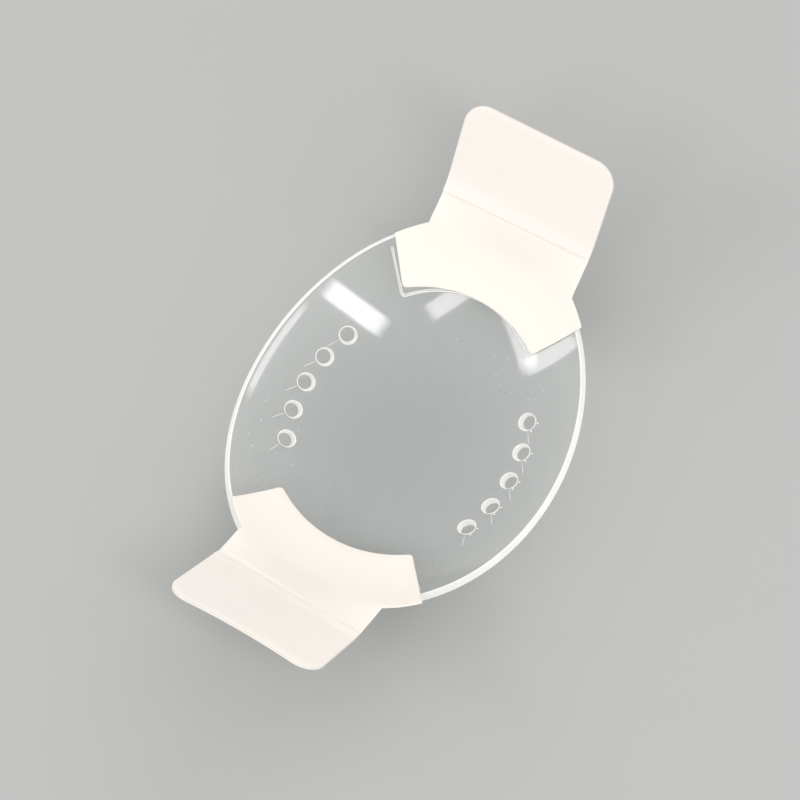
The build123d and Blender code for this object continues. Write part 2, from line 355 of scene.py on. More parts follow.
def within(outline, points):
    """True for flat points in a closed outline: a ray from one crosses it an odd number of times."""
    (x1, y1), (x2, y2) = outline.T, np.roll(outline, -1, axis=0).T
    x, y = points[:, :1], points[:, 1:]
    crosses = (y1 > y) != (y2 > y)
    with np.errstate(divide="ignore", invalid="ignore"):
        at = x1 + (y - y1) / (y2 - y1) * (x2 - x1)
    return (crosses & (x < at)).sum(axis=1) % 2 == 1


def make_object(name, patches, normals=None):
    """Object from patches of (points in mm, faces, slot), welded, with its faces outwards."""
    points, faces, slots, start = [], [], [], 0
    for patch_points, patch_faces, slot in patches:
        points.append(patch_points.reshape(-1, 3))
        faces += (np.asarray(patch_faces) + start).tolist()
        slots += [slot] * len(patch_faces)
        start += len(points[-1])
    mesh = bpy.data.meshes.new(name)
    mesh.from_pydata((np.vstack(points) * MM).tolist(), [], faces)
    mesh.polygons.foreach_set("material_index", slots)
    built = bmesh.new()
    built.from_mesh(mesh)
    bmesh.ops.remove_doubles(built, verts=built.verts, dist=WELD * MM)
    bmesh.ops.recalc_face_normals(built, faces=built.faces)
    built.to_mesh(mesh)
    built.free()
    mesh.shade_smooth()
    if normals is not None:
        places = np.empty(len(mesh.vertices) * 3)
        mesh.vertices.foreach_get("co", places)
        mesh.normals_split_custom_set_from_vertices(normals(places.reshape(-1, 3) / MM).tolist())
    piece = bpy.data.objects.new(name, mesh)
    bpy.context.scene.collection.objects.link(piece)
    return piece


def finish_piece(piece, body, slot, materials, *nodes):
    """Gives a piece its materials and body, and hides the CAD nodes that it stands for. The slot
    argument is not used.
    """
    for material in materials:
        piece.data.materials.append(material)
    if body:
        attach(piece, body)
    if nodes:
        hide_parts(*nodes)


# Shell


def rim_band(s):
    """Rounded square-cut rim: centre + rho * (e + tau / rho * outwards), for a profile of (tau, rho).

    e points to the oval (a cos p, b sin p, -1), and outwards lies square to it and to the oval.
    """
    a = s.half_width / sqrt(s.ball_radius**2 - s.half_width**2)
    b = s.half_length / sqrt(s.ball_radius**2 - s.half_length**2)
    p = np.linspace(0, 2 * pi, RIM_POINTS, endpoint=False)
    e = unit(np.stack([a * np.cos(p), b * np.sin(p), -np.ones_like(p)], axis=-1))
    along = np.stack([-a * np.sin(p), b * np.cos(p), np.zeros_like(p)], axis=-1)
    outwards = unit(np.cross(e, along))
    turn = np.linspace(0, pi / 2, ROUND_STEPS + 1)
    r = s.edge_round
    tau = np.concatenate([r * np.sin(turn), [r, r], r * np.cos(turn)]) - r
    low = s.inner_radius + r - r * np.cos(turn)
    high = s.ball_radius - r + r * np.sin(turn)
    flat = np.linspace(low[-1], high[0], 4)[1:3]
    rho = np.concatenate([low, flat, high])
    directions = unit(e[None] + (tau / rho)[:, None, None] * outwards[None])
    return s.centre + rho[:, None, None] * directions


def vent_axes(s):
    """Directions of the vents from the ball's centre: two curved rows, square to the wall."""
    turn = s.vent_step * (np.arange(s.vent_count) - (s.vent_count - 1) / 2)
    x = s.vent_reach - s.vent_row_radius * (1 - np.cos(turn))
    y = s.vent_row_radius * np.sin(turn)
    flat = np.concatenate([np.stack([side * x, y], axis=-1) for side in (-1, 1)])
    depth = np.sqrt(s.inner_radius**2 - (flat**2).sum(axis=-1, keepdims=True))
    return unit(np.hstack([flat, -depth]))


def vent_band(s, axis):
    """Drafted, leaning bore with two rounded lips: profile (rho, z), share 0 to 1 through the wall.

    A point is centre + axis * z + rho * (u cos q + v sin q) + share * lean.
    """
    r, bore = s.lip_round, s.vent_diameter / 2
    turn = np.linspace(0, pi / 2, ROUND_STEPS + 1)
    low = sqrt(s.inner_radius**2 - (bore + r) ** 2) + r
    high = sqrt(s.ball_radius**2 - (bore - s.vent_draft + r) ** 2) - r
    share = np.concatenate([0 * turn, [1 / 3, 2 / 3], 0 * turn + 1])
    rho = bore - s.vent_draft * share + r * np.concatenate([1 - np.sin(turn), [0, 0], 1 - np.cos(turn)])
    flat = np.linspace(low, high, 4)[1:3]
    z = np.concatenate([low - r * np.cos(turn), flat, high + r * np.sin(turn)])
    q = np.linspace(0, 2 * pi, VENT_POINTS, endpoint=False)
    u = unit(np.cross(axis, [0.0, 1.0, 0.0]))
    v = np.cross(axis, u)
    around = np.cos(q)[:, None] * u + np.sin(q)[:, None] * v
    lean = s.vent_lean * np.array([cos(s.vent_lean_way), sin(s.vent_lean_way), 0.0])
    lean = lean - axis * (lean @ axis)
    band = axis * z[:, None, None] + rho[:, None, None] * around + share[:, None, None] * lean
    band[-1] = s.ball_radius * unit(band[-1])
    return s.centre + band


def corner_ways(before, corner, after, radius):
    """A corner's directions in and out, turn, and rounding's reach: radius * tan(turn / 2)."""
    come, go = unit(corner - before), unit(after - corner)
    turn = np.arccos(np.clip(come @ go, -1, 1))
    return come, go, turn, radius * tan(turn / 2)


def rounded_corner(before, corner, after, radius, steps):
    """Soft rounding of a corner: a quadratic curve between tangent points, pulled to the corner."""
    come, go, _, back = corner_ways(before, corner, after, radius)
    w = np.linspace(0, 1, steps)[:, None]
    start, end = corner - come * back, corner + go * back
    return (1 - w) ** 2 * start + 2 * w * (1 - w) * corner + w**2 * end


def corner_arc(before, corner, after, radius):
    """Circular rounding of a corner: centre + radius * (cos, sin) between its tangent points."""
    come, go, turn, back = corner_ways(before, corner, after, radius)
    left = np.array([-come[1], come[0]])
    side = 1.0 if left @ go > 0 else -1.0
    centre = corner - come * back + left * side * radius
    q = np.linspace(0, turn, CORNER_POINTS)[:, None]
    return centre + radius * (come * np.sin(q) - left * side * np.cos(q))


def arc_through(end, apex_y, count):
    """Arc from (x, y) through (0, apex_y) to (-x, y): a circle centred on the long axis."""
    x, y = end
    radius = (x**2 + (y - apex_y) ** 2) / (2 * abs(y - apex_y))
    middle = apex_y - radius
    half = atan2(x, y - middle)
    turn = np.linspace(half, -half, count)
    return np.stack([radius * np.sin(turn), middle + radius * np.cos(turn)], axis=-1)


def stepped(line, step):
    """The same line with evenly spaced points, step apart or a little less."""
    gaps = np.linalg.norm(np.diff(line, axis=0), axis=1)
    way = np.concatenate([[0], np.cumsum(gaps)])
    places = np.linspace(0, way[-1], max(2, int(np.ceil(way[-1] / step)) + 1))
    return np.stack([np.interp(places, way, line[:, k]) for k in (0, 1)], axis=-1)


def between(start, end, step):
    """Evenly spaced points of a straight run, without its ends."""
    return stepped(np.vstack([start, end]), step)[1:-1]


def rib_line(s):
    """Centreline of the bead in plan: leg, arc and leg, with rounded corners."""
    end = np.array([s.rib_end_x, s.rib_end_y])
    corner = np.array([s.rib_corner_x, s.rib_corner_y])
    arc = arc_through(corner, s.rib_apex_y, BEAD_ARC_POINTS)
    first = 3
    round_one = rounded_corner(end, corner, arc[first], s.rib_round, steps=9)
    half = np.vstack([end[None], round_one, arc[first + 1 : BEAD_ARC_POINTS // 2]])
    return stepped(np.vstack([half, half[::-1] * [-1, 1]]), FINE_STEP)


def beside(line, gap):
    """Closed ring round an open line: line +- gap * normal, with half circles at its ends."""
    along = unit(np.gradient(line, axis=0))
    normal = np.stack([-along[:, 1], along[:, 0]], axis=-1)
    turn = np.linspace(0, pi, CAP_POINTS)[1:-1, None]
    cap = line[-1] + gap * (np.cos(turn) * normal[-1] + np.sin(turn) * along[-1])
    start = line[0] - gap * (np.cos(turn) * normal[0] + np.sin(turn) * along[0])
    return np.vstack([line + gap * normal, cap, (line - gap * normal)[::-1], start])


def plan_to_flat(plan, radius):
    """A ball's plan points seen from its centre on the plane below: (x, y) / sqrt(R^2 - x^2 - y^2)."""
    return plan / np.sqrt(radius**2 - (plan**2).sum(axis=1, keepdims=True))


def wall_face(s, rim, vents, radius, opening, ribs):
    """One face of the wall between rim, vents and beads: its clear part and the beads' flanks.

    It is worked out on the plane that touches the ball below its centre (x / -z of each direction).
    A bead's rings rise towards the centre by height * sqrt(1 - (d / half width)^2).
    """

    def flat(points):
        away = points - s.centre
        return away[:, :2] / -away[:, 2:]

    def lifted(places, radii):
        return s.centre + radii * unit(np.hstack([places, -np.ones((len(places), 1))]))

    def solid(middles):
        return ~np.any([within(hole, middles) for hole in holes], axis=0)

    half = s.rib_width / 2
    holes = [flat(vent) for vent in vents]
    loops = [flat(rim), *holes]
    heights = [0.0] * sum(map(len, loops))
    for plan in ribs:
        for share in BEAD_RINGS:
            loops.append(plan_to_flat(beside(plan, half * share), radius))
            heights += [s.rib_height * sqrt(1 - share**2)] * len(loops[-1])
    lines = [plan_to_flat(plan, radius) for plan in ribs]
    heights += [s.rib_height] * sum(map(len, lines))

    spacing = SPREAD / radius
    reach = np.abs(loops[0]).max(axis=0)
    spread = lattice(reach[0], -reach[1], reach[1], spacing)
    rim_clear = 1.2 * spacing
    spread = spread[((spread / (reach - rim_clear)) ** 2).sum(axis=1) < 1]
    places = lifted(spread, radius)
    towards = (places - s.centre) / radius
    off_axis = np.linalg.norm(np.cross(towards[:, None], vent_axes(s)[None]), axis=-1) * radius
    keep = off_axis.min(axis=1) > opening + SPREAD / 2
    for plan in ribs:
        keep &= distance_to(plan, places[:, :2]) > half + SPREAD / 2
    spread = spread[keep]

    triangles = filled(loops, lines, spread, solid)
    radii = radius - np.array(heights + [0.0] * len(spread))
    points = lifted(np.vstack([*loops, *lines, spread]), radii[:, None])
    flank = np.zeros(len(triangles), bool)
    for plan in ribs:
        off = distance_to(plan, points[triangles].mean(axis=1)[:, :2]) / half
        flank |= (off > FLANK_START) & (off < 1)
    # The flanks take the white second material: a painted highlight along each bead.
    return [(points, triangles[~flank], 0), (points, triangles[flank], 1)]


def bead_on_wall(s, start, turn, way, half, height):
    """Low closed bead on the inner wall from a plan place, tapered at both ends.

    Its plan is start + w * way * along + k * half * taper * aside, and it rises towards the centre
    by height * taper * sqrt(1 - k^2), where taper = sqrt(1 - (2 w - 1)^4).
    """
    w = np.linspace(0, 1, MARK_ROWS)[:, None]
    q = np.linspace(0, 2 * pi, MARK_SIDES, endpoint=False)[None]
    k, rise = np.cos(q), np.maximum(np.sin(q), 0)
    taper = np.sqrt(1 - (2 * w - 1) ** 4)
    along, aside = np.array([cos(turn), sin(turn)]), np.array([-sin(turn), cos(turn)])
    plan = start + (w * way)[..., None] * along + (k * half * taper)[..., None] * aside
    radius = s.inner_radius - s.coat_gap / 2 - rise * height * taper
    depth = np.sqrt(radius**2 - (plan**2).sum(axis=-1))
    return np.concatenate([plan, (s.ball_radius - depth)[..., None]], axis=-1)


def moulding_marks(s):
    """What the mould leaves inside: a knit line behind each vent, two nubs beside each right one."""
    patches = []
    for k, axis in enumerate(vent_axes(s)):
        side, place = (-1, 1)[k // s.vent_count], k % s.vent_count
        vent = axis[:2] * s.inner_radius
        lean = s.last_knit_lean if place == 0 else s.knit_lean
        marks = [(-pi / 2 + side * lean, s.knit_start, s.knit_length, s.knit_width / 2, s.knit_height)]
        if side > 0:
            nub, turns = s.nub_size, (s.nub_turn, s.nub_turn - s.nub_step)
            marks += [(turn, s.nub_reach, nub, nub / 2, nub / 3) for turn in turns]
        for turn, reach, way, half, height in marks:
            start = vent + reach * np.array([cos(turn), sin(turn)])
            bead = bead_on_wall(s, start, turn, way, half, height)
            # Marks take the same white as the rim: a painted highlight on real moulding marks.
            patches.append((bead, grid_faces(*bead.shape[:2], close_columns=True), 1))
    return patches


def shell_normals(s, points):
    """Normals on the wall's two ball faces: away / radius, turned round inside. Zero elsewhere."""
    away = points - s.centre
    radius = np.linalg.norm(away, axis=1, keepdims=True)
    outer, inner = (np.abs(radius - wall) < ON_WALL for wall in (s.ball_radius, s.inner_radius))
    return away / radius * (outer.astype(float) - inner)


def make_shell(scene):
    """Clear shell in one mesh: ball faces, rounded rim, lipped bores, beads and moulding marks."""
    s = shield_sizes(scene)
    rim = rim_band(s)
    vents = [vent_band(s, axis) for axis in vent_axes(s)]
    # Rim and bores take the white second material: satin scatter with painted glow of light piped
    # through the wall.
    patches = [(rim, grid_faces(len(rim), RIM_POINTS, close_columns=True), 1)]
    patches += [(vent, grid_faces(len(vent), VENT_POINTS, close_columns=True), 1) for vent in vents]
    opening = s.vent_diameter / 2 + s.lip_round
    rib = rib_line(s)
    patches += wall_face(s, rim[0], [vent[0] for vent in vents], s.inner_radius, opening, [rib, -rib])
    opening -= s.vent_draft
    patches += wall_face(s, rim[-1], [vent[-1] for vent in vents], s.ball_radius, opening, [])
    patches += moulding_marks(s)
    return make_object("clear_shell", patches, lambda points: shell_normals(s, points))


# Tabs


def from_crease(t, flat):
    """Flat places in the crease's own frame, turned back by the slant: x along it, y square to it."""
    u, v = flat[:, 0] - t.offset, flat[:, 1] - t.crease_v
    return u * cos(t.slant) + v * sin(t.slant), v * cos(t.slant) - u * sin(t.slant)


def crease_at(t, u):
    """Where the slanted crease crosses the sheet at u: v = crease_v + (u - offset) * tan(slant)."""
    return t.crease_v + (u - t.offset) * tan(t.slant)


def sheet_place(t, flat):
    """Middle of the tape for flat places (u across, v along).

    Up to neck_y it lies on the ball of mid_radius. The neck runs from that arc to the crease, leaving
    along the ball. After the crease it follows a bend of radius bend_length / bend_angle, then runs
    straight, and its sides sink by curl * (x / half width)^2 * share of the way to the free end.
    """
    u, v = flat[:, 0], flat[:, 1]
    on_ball = np.minimum(v, t.neck_y)
    depth = np.sqrt(t.mid_radius**2 - u**2 - on_ball**2)
    stuck = np.stack([u, on_ball, t.ball_radius - depth], axis=-1)
    along_crease = (u - t.offset) / cos(t.slant)
    line = t.crease + along_crease[:, None] * t.across
    way = np.clip((v - t.neck_y) / (crease_at(t, u) - t.neck_y), 0, 1)[:, None]
    run = line - stuck
    leave = unit(np.stack([np.zeros_like(u), np.ones_like(u), on_ball / depth], axis=-1))
    leave = leave * np.linalg.norm(run, axis=1, keepdims=True)
    settle = way * np.clip(1 - way / SETTLE_SHARE, 0, 1) ** 2
    neck = stuck + run * way + (leave - run) * settle
    bend_radius = t.bend_length / t.bend_angle
    x, past = from_crease(t, flat)
    bent = np.clip(past, 0, t.bend_length) / bend_radius
    straight = np.maximum(past - t.bend_length, 0)
    sunk = -t.curl * (x / t.end_half) ** 2 * np.clip(past / t.flap_length, 0, 1)
    y = bend_radius * np.sin(bent) + straight * np.cos(bent) - sunk * np.sin(bent)
    z = bend_radius * (1 - np.cos(bent)) + straight * np.sin(bent) + sunk * np.cos(bent)
    flap = t.crease + x[:, None] * t.across + y[:, None] * t.along + z[:, None] * t.up
    return np.where((past > 0)[:, None], flap, np.where((v > t.neck_y)[:, None], neck, stuck))


def sheet_points(t, flat, height):
    """Points over the tape's middle: place + height * normal, turned to the tab's end."""
    step = 0.02
    across = sheet_place(t, flat + [step, 0]) - sheet_place(t, flat - [step, 0])
    along = sheet_place(t, flat + [0, step]) - sheet_place(t, flat - [0, step])
    normal = unit(np.cross(across, along))
    return (sheet_place(t, flat) + height * normal) @ t.place.T


def half_width_at(t, past):
    """Half the flap's width at a way past the crease: it runs evenly from neck_half to end_half."""
    share = np.clip(past / t.flap_length, 0, 1)
    return t.neck_half + (t.end_half - t.neck_half) * share


def crease_rows(t):
    """Ways of the tape's rows from the crease: fine beside it, and coarse over neck and bend."""
    drop = t.neck_half * abs(tan(t.slant))
    start, end, step = NECK_ROWS
    neck = np.arange(start + drop, t.neck_length + end, step) - t.neck_length
    start, end, step = BEND_ROWS
    return np.concatenate([neck, np.arange(*CREASE_ROWS), np.arange(start, t.bend_length + end, step)])


def flap_side(t, sign, ways):
    """One side of the flap and its rounded corner, up to the middle of its free end.

    Ways count from the slanted crease where it meets that side.
    """
    edge_u = t.offset + sign * half_width_at(t, ways)
    side = np.stack([edge_u, ways + crease_at(t, edge_u)], axis=-1)
    end_v, run = t.crease_v + t.flap_length, 8.0
    corner = np.array([t.offset + sign * t.end_half, end_v])
    before = np.array([t.offset + sign * half_width_at(t, t.flap_length - run), end_v - run])
    middle = np.array([t.offset, end_v])
    go = corner_arc(before, corner, middle, t.end_round)
    straight = between(side[-1], go[0], SIDE_STEP)
    end = stepped(np.vstack([go[-1], middle]), END_STEP)[1:]
    return np.vstack([side, straight, go, end])


def head_side(t, sign):
    """Edge of the head on one side: from the neck down the ear and the leg to its corner.

    The ear follows an oval (x, y) = (A cos q, B sin q) along the rim as far as the leg's outer edge.
    """
    reach, splay = (t.right_reach, t.right_splay) if sign > 0 else (t.left_reach, t.left_splay)
    wide, long = t.half_width + reach, t.half_length + reach
    lowest = 0.2
    q = np.linspace(np.arccos(t.neck_half / wide), lowest, OVAL_POINTS)
    oval = np.stack([wide * np.cos(q) * sign + t.offset, long * np.sin(q)], axis=-1)
    leg_x = t.leg_offset + sign * (t.leg_half + tan(splay) * (oval[:, 1] - t.leg_y))
    beyond = (oval[:, 0] - leg_x) * sign > 0
    ear = stepped(oval[: np.argmax(beyond)], EDGE_STEP)
    leg = np.array([t.leg_offset + sign * t.leg_half, t.leg_y])
    arc = arc_through([t.leg_half, t.leg_y], t.arc_y, TAB_ARC_POINTS)[1]
    inner = np.array([t.leg_offset + sign * arc[0], arc[1]])
    corner = rounded_corner(ear[-1], leg, inner, t.leg_round, steps=7)
    straight = between(ear[-1], corner[0], EDGE_STEP)
    neck_x = t.offset + sign * t.neck_half
    neck_end = np.array([neck_x, min(crease_rows(t)) + crease_at(t, neck_x)])
    root = between(neck_end, ear[0], ROOT_STEP)
    return np.vstack([root, ear, straight, corner])


def tape_outline(t):
    """Die-cut outline of a tab in flat places, counter-clockwise from the neck's right corner."""
    ways = crease_rows(t)
    right_head = head_side(t, 1)
    cut = np.linalg.norm(right_head[-1] - [t.leg_offset + t.leg_half, t.leg_y])
    arc = arc_through([t.leg_half, t.leg_y], t.arc_y, TAB_ARC_POINTS) + [t.leg_offset, 0]
    inner = arc[np.abs(arc[:, 0] - t.leg_offset) < t.leg_half - cut]
    middle = stepped(inner[::-1], EDGE_STEP)
    flap = [flap_side(t, 1, ways), flap_side(t, -1, ways)[-2::-1]]
    return np.vstack([*flap, head_side(t, -1), middle, right_head[::-1]])


def inset(outline, gap):
    """Outline moved inwards: point - gap * outward normal, for a counter-clockwise outline."""
    along = unit(np.roll(outline, -1, axis=0) - np.roll(outline, 1, axis=0))
    outward = np.stack([along[:, 1], -along[:, 0]], axis=-1)
    return outline - gap * outward


def plate(t, name, outline, middle, thickness, rows=()):
    """Closed plate on a tab's curved sheet: faces at middle +- thickness / 2, edge rounded."""
    r = thickness / 3
    turn = np.linspace(-pi / 2, pi / 2, PLATE_EDGE_POINTS)
    lift = np.sign(turn) * (thickness / 2 - r) + r * np.sin(turn)
    rings = [inset(outline, r * (1 - np.cos(a))) for a in turn]
    edge = np.stack([sheet_points(t, ring, middle + h) for ring, h in zip(rings, lift)])
    loop = rings[0]
    spread = lattice(t.half_width + 2, loop[:, 1].min(), loop[:, 1].max(), SHEET_SPREAD)
    spread = spread[within(loop, spread)]
    edge_line = stepped(np.vstack([loop, loop[:1]]), FINE_STEP)
    spread = spread[distance_to(edge_line, spread) > SHEET_SPREAD / 2]
    if len(rows):
        clear, side_clear = 0.4, 0.9
        past = spread[:, 1] - crease_at(t, spread[:, 0])
        spread = spread[(past < rows.min() - clear) | (past > rows.max() + clear)]
        cross = np.arange(END_STEP - t.neck_half, t.neck_half - side_clear, END_STEP) + t.offset
        across = [np.stack([cross, crease_at(t, cross) + way], axis=-1) for way in rows]
        spread = np.vstack([spread, *across])
    triangles = filled([loop], [], spread, lambda places: within(loop, places))
    flat = np.vstack([loop, spread])
    patches = [(edge, grid_faces(len(edge), len(loop), close_columns=True), 0)]
    for height in (middle - thickness / 2, middle + thickness / 2):
        patches.append((sheet_points(t, flat, height), triangles, 0))
    return make_object(name, patches)


def make_tape(t):
    """A tab's whole tape in one sheet: head, neck and flap."""
    return plate(t, f"{t.name}_tape", tape_outline(t), 0.0, t.tape, crease_rows(t))


def flap_outline(t, margin):
    """Outline of a coat or liner: the flap's from its slanted start line on, moved in by a margin."""
    clear = 0.3
    last = t.flap_length - t.end_round - clear - t.neck_half * abs(tan(t.slant))
    right = flap_side(t, 1, np.arange(t.right_coat, last, COAT_STEP))
    left = flap_side(t, -1, np.arange(t.left_coat, last, COAT_STEP))
    ring = np.vstack([right, left[-2::-1], between(left[0], right[0], END_STEP)])
    return ring if margin == 0 else inset(ring, margin)


def make_skin_glue(t):
    """Coat of adhesive on the flap, under its liner."""
    middle, thickness = t.tape / 2 + t.glue / 2, t.glue - 2 * t.coat_gap
    return plate(t, f"{t.name}_skin_glue", flap_outline(t, t.skin_margin), middle, thickness)


def make_liner(t):
    """Release paper over the flap's adhesive, cut level with the tape."""
    middle = t.tape / 2 + t.glue + t.liner_lift + t.liner / 2
    return plate(t, f"{t.name}_liner_paper", flap_outline(t, 0.0), middle, t.liner)


def head_edge(x, half, corner_y, apex_y, slope, gap):
    """Lower edge of a head or a bead, moved up by a gap: the higher of its arc and its legs."""
    radius = (half**2 + (corner_y - apex_y) ** 2) / (2 * (apex_y - corner_y))
    arc = apex_y - radius + np.sqrt(np.maximum((radius + gap) ** 2 - x**2, 0))
    leg = corner_y + (np.abs(x) - half) / slope + gap * np.sqrt(1 + 1 / slope**2)
    return np.maximum(arc, leg)


def make_head_glue(t):
    """Coat of adhesive under the head, inside the bead's frame: from y = low(x) to y = high(x)."""
    x = np.linspace(-t.half_width, t.half_width, GLUE_POINTS)
    lean = np.where(x > t.leg_offset, tan(t.right_splay), tan(t.left_splay))
    tape = head_edge(x - t.leg_offset, t.leg_half, t.leg_y, t.arc_y, lean, t.glue_margin)
    frame_corner = (t.rib_corner_x, t.rib_corner_y, t.rib_apex_y)
    frame_slope = (t.rib_end_x - t.rib_corner_x) / (t.rib_end_y - t.rib_corner_y)
    bead = head_edge(x * cos(t.skew), *frame_corner, frame_slope, t.rib_width)
    low = np.maximum(tape, bead + x * sin(t.skew))
    inner_share = t.inner_radius / t.ball_radius
    wide, long = (half * inner_share - t.glue_margin for half in (t.half_width, t.half_length))
    high = long * np.sqrt(np.maximum(1 - (x / wide) ** 2, 0))
    least_height = 0.3
    inside = high - low > least_height
    bottom = stepped(np.stack([x, low], axis=-1)[inside], EDGE_STEP)
    top = stepped(np.stack([x, high], axis=-1)[inside][::-1], EDGE_STEP)
    middle = -(t.tape / 2 + t.glue / 2)
    return plate(t, f"{t.name}_head_glue", np.vstack([bottom, top]), middle, t.glue - 2 * t.coat_gap)


# Materials


def add_node(tree, kind, inputs=(), **settings):
    """Adds a shader node. An input takes a value, a socket or another node's first output."""
    made = tree.nodes.new("ShaderNode" + kind)
    for key, value in settings.items():
        setattr(made, key, value)
    for key, value in dict(inputs).items():
        if isinstance(value, bpy.types.Node):
            value = value.outputs[0]
        if isinstance(value, bpy.types.NodeSocket):
            tree.links.new(value, made.inputs[key])
        else:
            made.inputs[key].default_value = value
    return made


def new_material(name):
    """Empty node material: (material, its tree, Object coordinates)."""
    material = bpy.data.materials.new(name)
    material.use_nodes = True
    tree = material.node_tree
    tree.nodes.clear()
    return material, tree, add_node(tree, "TexCoord").outputs["Object"]


def across_mm(size):
    """Scale of a pattern that repeats every size millimetres, on coordinates in metres: 1 / size."""
    return 1 / (size * MM)


def moulded_polycarbonate(colours):
    """Clear injection-moulded polycarbonate: IOR 1.585, polished by the mould.

    The eye sees a clear wall with bright edges, faint waves from the mould's flow, hairline scratches
    and a few specks of dust.
    """
    material, tree, place = new_material("moulded_polycarbonate")
    flow = add_node(tree, "TexNoise", {"Vector": place, "Scale": across_mm(14), "Detail": 1.0})
    drawn_out = {"Vector": place, "Rotation": (0.0, 0.0, 0.7), "Scale": (1.0, 0.06, 1.0)}
    stretched = add_node(tree, "Mapping", drawn_out)
    hairs = add_node(tree, "TexNoise", {"Vector": stretched, "Scale": across_mm(0.5), "Detail": 3.0})
    scratch = add_node(tree, "MapRange", {"Value": hairs, "From Min": 0.66, "From Max": 0.74})
    rough = add_node(tree, "MapRange", {"Value": scratch, "To Min": 0.05, "To Max": 0.16})
    waves = add_node(tree, "Bump", {"Height": flow, "Strength": 0.25, "Distance": 0.04 * MM})
    cuts = add_node(
        tree, "Bump", {"Height": scratch, "Normal": waves, "Strength": 0.2, "Distance": 0.02 * MM}
    )
    clear = {"Base Color": colours.shell, "Transmission Weight": 1.0, "IOR": 1.585}
    plastic = add_node(tree, "BsdfPrincipled", {**clear, "Roughness": rough, "Normal": cuts})
    grit = add_node(tree, "TexVoronoi", {"Vector": place, "Scale": across_mm(1.6)})
    near = {"Value": grit, "From Min": 0.045, "From Max": 0.085, "To Min": 0.7, "To Max": 0.0}
    speck = add_node(tree, "MapRange", near)
    dust = add_node(tree, "BsdfDiffuse", {"Color": colours.dust})
    pass_lamps(tree, add_node(tree, "MixShader", {0: speck, 1: plastic, 2: dust}))
    return material


def pass_lamps(tree, surface):
    """Lets the lamps' light through clear plastic to the floor, less what its faces turn away."""
    lamp = add_node(tree, "LightPath").outputs["Is Shadow Ray"]
    clear = add_node(tree, "BsdfTransparent", {"Color": (0.74, 0.75, 0.75, 1.0)})
    shown = add_node(tree, "MixShader", {0: lamp, 1: surface, 2: clear})
    add_node(tree, "OutputMaterial", {"Surface": shown})


def satin_polycarbonate(colours):
    """The same plastic on the rim, the bores and the beads' flanks.

    It is mostly white there: partly the satin skin's own scatter, partly painted glow standing in for
    light piped through the wall, and a painted highlight on the beads' flanks and the moulding marks.
    """
    material, tree, place = new_material("satin_polycarbonate")
    grain = add_node(tree, "TexNoise", {"Vector": place, "Scale": across_mm(0.7), "Detail": 2.0})
    rough = add_node(tree, "MapRange", {"Value": grain, "To Min": 0.12, "To Max": 0.32})
    clear = {"Base Color": colours.shell, "Transmission Weight": 1.0, "IOR": 1.585}
    plastic = add_node(tree, "BsdfPrincipled", {**clear, "Roughness": rough})
    front = add_node(tree, "BsdfDiffuse", {"Color": colours.satin})
    back = add_node(tree, "BsdfTranslucent", {"Color": colours.satin})
    # White diffuse and translucent mix over 88 to 100 percent of the surface: painted glow in place of
    # light piped through the wall, besides the satin skin's scatter.
    white = add_node(tree, "MixShader", {0: 0.35, 1: front, 2: back})
    share = add_node(tree, "MapRange", {"Value": grain, "To Min": 0.88, "To Max": 1.0})
    pass_lamps(tree, add_node(tree, "MixShader", {0: share, 1: plastic, 2: white}))
    return material


# White sheets: colour, its share in the darker clouds, grain in mm, roughness from and to, depth in mm.
WHITE_SHEETS = {
    # Extruded film: smooth and matt, with the chill roll's faint grain, drawn coarser so that it shows.
    "polyethylene_tape": ("tape", 0.985, 0.35, 0.5, 0.62, 0.004),
    # Silicone-coated paper: greyer and smoother than the tape, with fibres under the coat.
    "release_paper": ("liner", 0.975, 0.6, 0.36, 0.5, 0.006),
    # Clear adhesive on white tape: glossy, with the small bubbles of a hand-laid label.
    "acrylic_adhesive": ("glue", 0.93, 1.2, 0.12, 0.3, 0.01),
    # Seamless studio paper: an even pale tone with a grain too fine to see.
    "floor_paper": ("floor", 0.99, 0.8, 0.7, 0.85, 0.004),
}


def white_sheet(scene, name):
    """A row of the table: two close tones in soft clouds, with a fine grain in gloss and height."""
    key, darker, grain_mm, rough_low, rough_high, depth_mm = WHITE_SHEETS[name]
    colour_value = getattr(scene.eye_shield_colours, key)
    material, tree, place = new_material(name)
    clouds = add_node(tree, "TexNoise", {"Vector": place, "Scale": across_mm(9), "Detail": 2.0})
    shade = [c * darker for c in colour_value[:3]] + [1.0]
    tone = add_node(tree, "Mix", {0: clouds, 6: list(colour_value), 7: shade}, data_type="RGBA")
    grain = add_node(tree, "TexNoise", {"Vector": place, "Scale": across_mm(grain_mm), "Detail": 3.0})
    rough = add_node(tree, "MapRange", {"Value": grain, "To Min": rough_low, "To Max": rough_high})
    bump = add_node(tree, "Bump", {"Height": grain, "Strength": 0.35, "Distance": depth_mm * MM})
    matt = {"Base Color": tone.outputs[2], "Roughness": rough, "Normal": bump, "IOR": 1.5}
    add_node(tree, "OutputMaterial", {"Surface": add_node(tree, "BsdfPrincipled", matt)})
    return material


# Stage

# The camera's aim and distance in metres, its angles, and its lens in millimetres.
AIM = Vector((-0.00230, 0.00227, 0.01334))
DISTANCE = 0.876
AZIMUTH, ELEVATION, LEAN = radians(35.44), radians(67.19), radians(7.3)
LENS = 214.25

